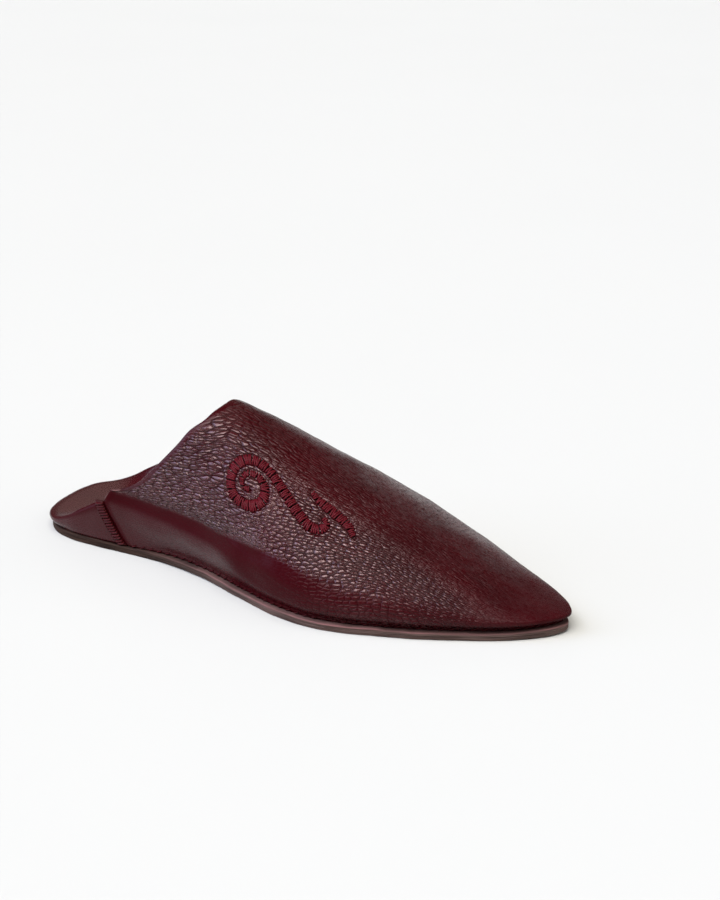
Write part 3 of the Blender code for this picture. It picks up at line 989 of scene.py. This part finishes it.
def make_side_seam(name, side, thread, seed):
    """The raised seam: a core strip under rows of overcast thread."""
    rng = np.random.default_rng(seed)
    top_z = fold_z(beside_seam(fold_z, 0))
    z = np.linspace(BASE_Z, top_z, 40)[:, None]
    across = np.linspace(-0.5, 0.5, 9)
    s = arc_at(seam_x(z) + across * SEAM_WIDTH)
    proud = SEAM_PROUD * 0.4 * (1.0 - (2.0 * across) ** 4)
    outer = points_of(*edge(s, -SOLE_LIP + proud), z)
    inner = points_of(*edge(s, -SOLE_LIP - UPPER_WALL), z)
    flip = (1.0, side, 1.0)
    rows, columns = outer.shape[:2]
    index = np.arange(rows * columns).reshape(rows, columns)
    back = index + rows * columns
    faces = grid_faces(index, flip=side < 0) + grid_faces(back, flip=side > 0)
    rim = np.concatenate([index[0], index[1:, -1], index[-1, -2::-1], index[-2:0:-1, 0]])
    rim_back = rim + rows * columns
    for k in range(len(rim)):
        n = (k + 1) % len(rim)
        faces.append([rim[k], rim_back[k], rim_back[n], rim[n]])
    core = one_list(outer, inner)
    # The core's low crest value puts its whole face in the threads' painted shade
    parts = [(settle(core * flip), faces, np.full(len(core), 0.3))]
    for step in range(int((top_z - BASE_Z) / SEAM_PITCH)):
        height = BASE_Z + (step + 0.5) * SEAM_PITCH
        spot = np.linspace(-0.5, 0.5, 9) * (1.0 + 0.05 * rng.uniform(-1.0, 1.0))
        level = height + 0.0004 * np.linspace(-1.0, 1.0, 9) + 0.0001 * rng.uniform(-1.0, 1.0)
        s = arc_at(seam_x(level) + (spot + 0.06) * SEAM_WIDTH)
        lift = SEAM_PROUD * (0.85 - 0.45 * np.abs(spot / 0.5) ** 3)
        path = settle(points_of(*edge(s, -SOLE_LIP + lift), level) * flip)
        parts.append(tube(path, SEAM_THREAD_RADIUS, sides=8))
    piece = joined_piece(name + "_threads", parts, thread)
    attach(piece, "root")
    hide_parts(name)


def make_groove_stitches(thread):
    """Stitches that hold the upper to the sole, showing in the groove between them."""
    rng = np.random.default_rng(29)
    start = arc_at(SEAM_FOOT_X + 0.004)
    count = int((1.0 - start) * ARC_LENGTH / STITCH_PITCH)
    parts = []
    for side in (-1.0, 1.0):
        for k in range(count):
            middle = start + (k + 0.5) * STITCH_PITCH / ARC_LENGTH
            t = np.linspace(-0.5, 0.5, 7)
            s = middle + t * STITCH_LENGTH / ARC_LENGTH
            grown = shaping(edge(s, 0.0)[0])
            sunk = -SOLE_LIP - GROOVE_DEPTH * grown
            x, y = edge(s, sunk + 0.0001 + 0.0003 * (1.0 - (2.0 * t) ** 2))
            rise = 0.0005 * t * 2.0 + 0.0001 * rng.uniform(-1.0, 1.0)
            z = BASE_Z + 0.0007 + rise
            parts.append(tube(settle(points_of(x, y * side, z)), STITCH_RADIUS, sides=6))
    piece = joined_piece("groove_stitches", parts, thread)
    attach(piece, "root")


# Sole


def hand_cut(s, side):
    """Small unevenness of an edge cut by hand, none at the heel's and the toe's middle."""
    wave = np.sin(s * 61.0 + side) + 0.7 * np.sin(s * 143.0 + 2.0 * side) + 0.5 * np.sin(s * 307.0)
    return 0.00009 * wave * np.sin(math.pi * s) ** 0.5


def plate(name, rings, material, node):
    """A flat piece from rings of the outline (offset, z, share of painted highlight), lowest first,
    closed by two caps.
    """
    even = np.linspace(0.0, 1.0, SOLE_STEPS + 1)
    s = (even + 0.5 - 0.5 * np.cos(math.pi * even)) / 2
    loops = []
    for offset, z, _ in rings:
        level = z + 0.5 * z * hand_cut(s, 3.0) / 0.002
        left, right = (points_of(*edge(s, offset + hand_cut(s, side)), level) for side in (1.0, -1.0))
        loops.append(np.concatenate([left, right[-2:0:-1] * (1.0, -1.0, 1.0)]))
    points = settle(np.stack(loops)).reshape(-1, 3)
    paint = np.repeat([ring[2] for ring in rings], len(loops[0]))
    count = len(loops[0])
    index = np.arange(len(rings) * count).reshape(len(rings), count)
    closed = np.concatenate([index, index[:, :1]], axis=1)
    faces = grid_faces(closed)
    for loop, flip in ((index[0], True), (index[-1], False)):
        left = loop[: SOLE_STEPS + 1].tolist()
        right = [loop[0]] + loop[: SOLE_STEPS - 1 : -1].tolist()
        for i in range(SOLE_STEPS):
            face = list(dict.fromkeys((left[i], right[i], right[i + 1], left[i + 1])))
            faces.append(face[::-1] if flip else face)
    piece = make_piece(name, points, faces, [material], fields={"top_highlight": paint})
    piece.data.set_sharp_from_angle(angle=math.radians(50.0))
    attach(piece, "root")
    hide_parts(node)


def make_soles(sole, insole):
    ease, top = SOLE_EASE, SOLE_THICKNESS
    rings = (
        (-0.0030, 0.0, 0.0),
        (-ease, 0.0, 0.0),
        (-ease * 0.3, ease * 0.3, 0.0),
        (0.0, ease, 0.0),
        (0.0, top * 0.44, 0.0),
        (-0.00022, top * 0.48, 0.0),
        (-0.00022, top * 0.52, 0.0),
        (0.0, top * 0.56, 0.0),
        (0.0, top * 0.76, 0.0),
        (0.0, top - ease, 0.6),
        (-ease * 0.3, top - ease * 0.3, 1.0),
        (-ease, top, 0.5),
        (-0.0030, top, 0.2),
    )
    plate("outsole_leather", rings, sole, "outsole")
    rings = (
        (INSOLE_OFFSET - 0.0010, BASE_Z, 0.0),
        (INSOLE_OFFSET, BASE_Z, 0.0),
        (INSOLE_OFFSET, INSOLE_TOP - 0.0003, 0.0),
        (INSOLE_OFFSET - 0.0003, INSOLE_TOP, 0.0),
        (INSOLE_OFFSET - 0.0020, INSOLE_TOP, 0.0),
    )
    plate("insole_sheet", rings, insole, "insole")


# Materials


def feed(tree, socket, value):
    """Gives a socket its value, or links it where the value is another node's output."""
    if isinstance(value, bpy.types.NodeSocket):
        tree.links.new(value, socket)
    else:
        socket.default_value = value


def feed_named(tree, node, **inputs):
    """Feeds a node's inputs by their names, with _ for a space."""
    for key, value in inputs.items():
        feed(tree, node.inputs[key.replace("_", " ")], value)


def add(tree, kind, settings=None, **inputs):
    made = tree.nodes.new(kind)
    for key, value in (settings or {}).items():
        setattr(made, key, value)
    feed_named(tree, made, **inputs)
    return made


def maths(tree, operation, a, b=0.0, c=0.0, kind="ShaderNodeMath"):
    made = add(tree, kind, {"operation": operation})
    for socket, value in zip(made.inputs, (a, b, c)):
        feed(tree, socket, value)
    return made.outputs[0]


def ramp(tree, value, low, high, to_low=0.0, to_high=1.0):
    """A smooth step from to_low to to_high, where the value goes from low to high."""
    kind = {"interpolation_type": "SMOOTHSTEP"}
    limits = {"From_Min": low, "From_Max": high, "To_Min": to_low, "To_Max": to_high}
    return add(tree, "ShaderNodeMapRange", kind, Value=value, **limits).outputs[0]


def mix_colour(tree, share, a, b):
    made = add(tree, "ShaderNodeMix", {"data_type": "RGBA"})
    for place, value in ((0, share), (6, a), (7, b)):
        feed(tree, made.inputs[place], (*value, 1.0) if isinstance(value, tuple) else value)
    return made.outputs[2]


def noise(tree, place, scale, detail):
    return add(tree, "ShaderNodeTexNoise", Vector=place, Scale=scale, Detail=detail).outputs["Fac"]


def object_place(tree):
    return add(tree, "ShaderNodeTexCoord").outputs["Object"]


def field(tree, name, output="Fac"):
    return add(tree, "ShaderNodeAttribute", {"attribute_name": name}).outputs[output]


def bump(tree, height, distance, strength=1.0, **below):
    made = add(tree, "ShaderNodeBump", Height=height, Distance=distance, Strength=strength, **below)
    return made.outputs["Normal"]


def new_material(name):
    material = bpy.data.materials.new(name)
    material.use_nodes = True
    tree = material.node_tree
    return material, tree, tree.nodes["Principled BSDF"]


def pebbles(tree, place, size, stretch, uneven):
    """Height of rounded grain cells of this size, longer by stretch along the slipper."""
    scale = (1.0 / (size * stretch), 1.0 / size, 1.0)
    scaled = add(tree, "ShaderNodeMapping", Vector=place, Scale=scale).outputs[0]
    warp = add(tree, "ShaderNodeTexNoise", Vector=scaled, Scale=0.6, Detail=1.0).outputs["Color"]
    moved = maths(tree, "MULTIPLY_ADD", warp, (0.5, 0.5, 0.0), scaled, "ShaderNodeVectorMath")
    distances = []
    for feature in ("F1", "DISTANCE_TO_EDGE"):
        kinds = {"voronoi_dimensions": "2D", "feature": feature}
        cells = add(tree, "ShaderNodeTexVoronoi", kinds, Vector=moved, Scale=1.0, Randomness=uneven)
        distances.append(cells.outputs["Distance"])
    dome = maths(tree, "MULTIPLY", distances[0], -0.8)
    return maths(tree, "ADD", dome, ramp(tree, distances[1], 0.0, 0.25, 0.0, 0.6))


def upper_material():
    """Burgundy pebbled leather, semi-gloss, smoother where the grain mask is low."""
    material, tree, shader = new_material("upper_leather_looks")
    surface = field(tree, "surface", "Vector")
    grain, rows, gloss = field(tree, "grain"), field(tree, "rows"), field(tree, "gloss")
    mixed = add(tree, "ShaderNodeMix", {"data_type": "FLOAT"})
    feed(tree, mixed.inputs[0], rows)
    feed(tree, mixed.inputs[2], pebbles(tree, surface, *ROUND_CELLS))
    feed(tree, mixed.inputs[3], pebbles(tree, surface, *LONG_CELLS))
    height = maths(tree, "MULTIPLY", mixed.outputs[0], grain)
    # Painted shade in the grain's valleys: darker colour there, and less reflection
    pits = maths(tree, "MULTIPLY", ramp(tree, mixed.outputs[0], -0.6, 0.1, 0.9, 0.0), grain)
    fine, broad = noise(tree, surface, 1500.0, 3.0), noise(tree, surface, 38.0, 2.0)
    colour = mix_colour(tree, ramp(tree, broad, 0.3, 0.7), *LEATHER_SHADES)
    # Painted shade: the leather goes to the shaded colour where the dark mask is high
    colour = mix_colour(tree, field(tree, "dark"), colour, SHADED_LEATHER)
    duller_in_pits = maths(tree, "MULTIPLY_ADD", pits, -0.45, 0.5)
    feed_named(
        tree,
        shader,
        Base_Color=mix_colour(tree, pits, colour, GRAIN_PIT_SHADE),
        Roughness=ramp(tree, fine, 0.2, 0.8, 0.22, 0.33),
        IOR=1.5,
        Specular_IOR_Level=maths(tree, "MULTIPLY", gloss, duller_in_pits),
        Specular_Tint=(1.0, 0.76, 0.77, 1.0),
        Coat_Weight=0.03,
        Coat_Roughness=0.20,
        Normal=bump(tree, height, GRAIN_DEPTH, Normal=bump(tree, fine, 0.00005, 0.5)),
    )
    return material


def lining_material(name, colour):
    """Dull leather in patches of this colour and a darker one, with fine pores."""
    material, tree, shader = new_material(name)
    place = object_place(tree)
    patches, pores = noise(tree, place, 120.0, 4.0), noise(tree, place, 900.0, 3.0)
    darker = tuple(0.6 * c for c in colour)
    feed_named(
        tree,
        shader,
        Base_Color=mix_colour(tree, ramp(tree, patches, 0.3, 0.7), darker, colour),
        Roughness=ramp(tree, patches, 0.2, 0.8, 0.6, 0.75),
        Normal=bump(tree, pores, 0.0002, 0.5),
    )
    return material


def sole_material():
    """Bare cut leather in thin layers, darker to the rear as painted shade under the heel, with a
    painted highlight, paler red, along the top of its edge at the front.
    """
    material, tree, shader = new_material("sole_leather_looks")
    place = object_place(tree)
    layers = add(tree, "ShaderNodeMapping", Vector=place, Scale=(60.0, 60.0, 1400.0))
    streaks = noise(tree, layers.outputs[0], 1.0, 4.0)
    share = ramp(tree, streaks, 0.3, 0.7)
    front = ramp(tree, add(tree, "ShaderNodeSeparateXYZ", Vector=place).outputs[0], -0.09, 0.02)
    darker, lighter = (mix_colour(tree, front, *pair) for pair in zip(SOLE_REAR, SOLE_FRONT))
    # Painted highlight on the edge's rounded top, only toward the front
    cut = maths(tree, "MULTIPLY", field(tree, "top_highlight"), ramp(tree, share, 0.0, 1.0, 0.4, 1.0))
    cut = maths(tree, "MULTIPLY", cut, front)
    feed_named(
        tree,
        shader,
        Base_Color=mix_colour(tree, cut, mix_colour(tree, share, darker, lighter), SOLE_TOP_HIGHLIGHT),
        Roughness=0.7,
        Specular_IOR_Level=0.15,
        Normal=bump(tree, streaks, 0.0002, 0.6),
    )
    return material


def thread_material(name, colour, light, gap):
    """Twisted thread of two colours, with painted shade by gap away from its crest."""
    material, tree, shader = new_material(name)
    twist = noise(tree, object_place(tree), 2200.0, 2.0)
    twisted = mix_colour(tree, ramp(tree, twist, 0.35, 0.65), colour, light)
    # Painted shade: away from the crest the thread goes to a fifth of its colour
    side = ramp(tree, field(tree, "crest"), 0.5, 0.97, gap, 0.0)
    feed_named(
        tree,
        shader,
        Base_Color=mix_colour(tree, side, twisted, tuple(0.2 * c for c in colour)),
        Roughness=0.45,
        Specular_IOR_Level=0.15,
        Normal=bump(tree, twist, 0.00025, 0.8),
    )
    return material


def floor_material():
    material, tree, shader = new_material("pale_floor")
    colour = mix_colour(tree, noise(tree, object_place(tree), 3.0, 2.0), *FLOOR_SHADES)
    feed_named(tree, shader, Base_Color=colour, Roughness=0.6, Specular_IOR_Level=0.1)
    return material


# Stage


def soft_box(tree, azimuth, elevation, sides, radiance):
    """A soft-edged bright patch of the room between (az from, az to, el from, el to) in degrees."""
    soft = math.radians(LIGHT_EDGE)
    patch = radiance
    angles = (azimuth, azimuth, elevation, elevation)
    for angle, side, below in zip(angles, sides, (0.0, 1.0, 0.0, 1.0)):
        limit = math.radians(side)
        share = ramp(tree, angle, limit - soft, limit + soft, below, 1.0 - below)
        patch = maths(tree, "MULTIPLY", share, patch)
    return patch


def make_room():
    """A dim room with soft lights. Azimuth is 0 at -Y and 90 at +X, elevation 90 overhead."""
    world = bpy.data.worlds.new("room")
    bpy.context.scene.world = world
    world.use_nodes = True
    tree = world.node_tree
    direction = add(tree, "ShaderNodeTexCoord").outputs["Generated"]
    split = add(tree, "ShaderNodeSeparateXYZ", Vector=direction).outputs
    elevation = maths(tree, "ARCSINE", split[2])
    azimuth = maths(tree, "ARCTAN2", split[0], maths(tree, "MULTIPLY", split[1], -1.0))
    total = [ROOM_RADIANCE] * 3
    for *sides, radiance, blueness in ROOM_LIGHTS:
        light = soft_box(tree, azimuth, elevation, sides, radiance)
        tint = (1.0 - blueness * 0.6, 1.0 - blueness * 0.2, 1.0 + blueness)
        for k in range(3):
            total[k] = maths(tree, "MULTIPLY_ADD", light, tint[k], total[k])
    colour = add(tree, "ShaderNodeCombineColor", Red=total[0], Green=total[1], Blue=total[2])
    tree.links.new(colour.outputs[0], tree.nodes["Background"].inputs["Color"])


def make_stage():
    corners = np.array([(-1.0, -1.0, 0.0), (1.0, -1.0, 0.0), (1.0, 1.0, 0.0), (-1.0, 1.0, 0.0)])
    floor = make_piece("floor", corners * FLOOR_SIZE, [[0, 1, 2, 3]], [floor_material()])
    bpy.context.scene.view_settings.view_transform = "Standard"


def make_camera():
    camera = bpy.data.objects.new("photo_camera", bpy.data.cameras.new("photo_camera"))
    camera.data.sensor_width = CAMERA_SENSOR
    camera.data.lens = CAMERA_LENS
    camera.data.clip_start, camera.data.clip_end = 0.01, 100.0
    camera.location = CAMERA_PLACE
    camera.rotation_mode = "QUATERNION"
    camera.rotation_quaternion = Vector(CAMERA_LOOK).to_track_quat("-Z", "Y")
    bpy.context.scene.collection.objects.link(camera)
    bpy.context.scene.camera = camera


def main():
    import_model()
    upper = upper_material()
    lining = lining_material("lining_leather_looks", LINING)
    insole = lining_material("insole_leather_looks", INSOLE)
    seam_thread = thread_material("seam_thread_looks", *SEAM_THREAD)
    stitch_thread = thread_material("embroidery_thread_looks", *EMBROIDERY_THREAD)
    flanks = [dressed_flank(1), dressed_flank(-1)]
    make_vamp(flanks, upper, lining)
    make_quarter(upper, lining)
    make_corner_edges(flanks, lining_material("cut_edge_and_highlight_looks", CUT_EDGE_AND_HIGHLIGHT))
    make_embroidery(flanks[1], stitch_thread)
    make_side_seam("side_seam_left", 1.0, seam_thread, 10)
    make_side_seam("side_seam_right", -1.0, seam_thread, 12)
    make_groove_stitches(seam_thread)
    make_soles(sole_material(), insole)
    make_stage()
    make_room()
    make_camera()


main()
